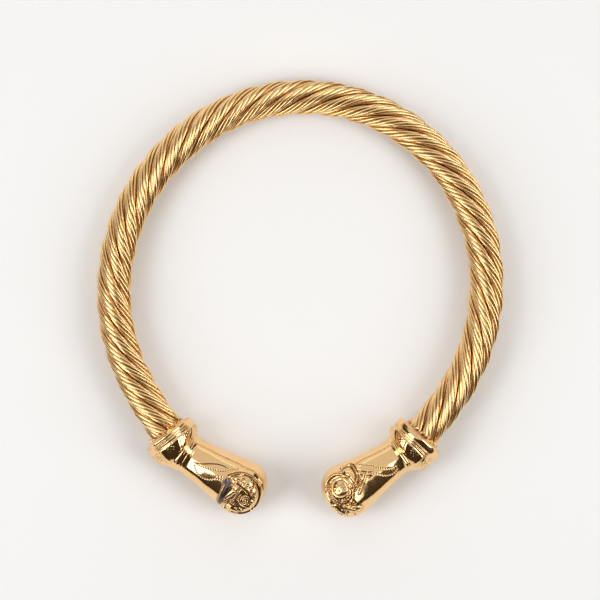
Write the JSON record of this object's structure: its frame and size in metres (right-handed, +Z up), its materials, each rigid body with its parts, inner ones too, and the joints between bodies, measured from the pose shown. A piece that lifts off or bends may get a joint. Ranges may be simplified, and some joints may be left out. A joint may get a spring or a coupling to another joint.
{
  "type": "gold torc",
  "caption": "Open neck ring of twisted gold wire rope with collared, flared terminals that end in relief-covered domes.",
  "frame": {"origin": "under the middle of the hoop's outline, on the surface that the torc lies on", "axes": "+Z up out of the plane of the hoop, -Y through the mouth between the terminals, +X towards the right-hand terminal seen from above with the mouth nearest"},
  "size_m": [0.189, 0.2029, 0.027],
  "materials": {
    "gold_wire": "satin yellow gold, drawn wire with worn crests and darker grooves",
    "gold_cast": "polished yellow gold, cast and burnished, with chased relief and some darker tarnish"
  },
  "bodies": {
    "root": {"strand_1": "gold_wire", "strand_2": "gold_wire", "strand_3": "gold_wire", "strand_4": "gold_wire", "strand_5": "gold_wire", "strand_6": "gold_wire", "terminal_left": "gold_cast", "terminal_right": "gold_cast"}
  },
  "joints": []
}
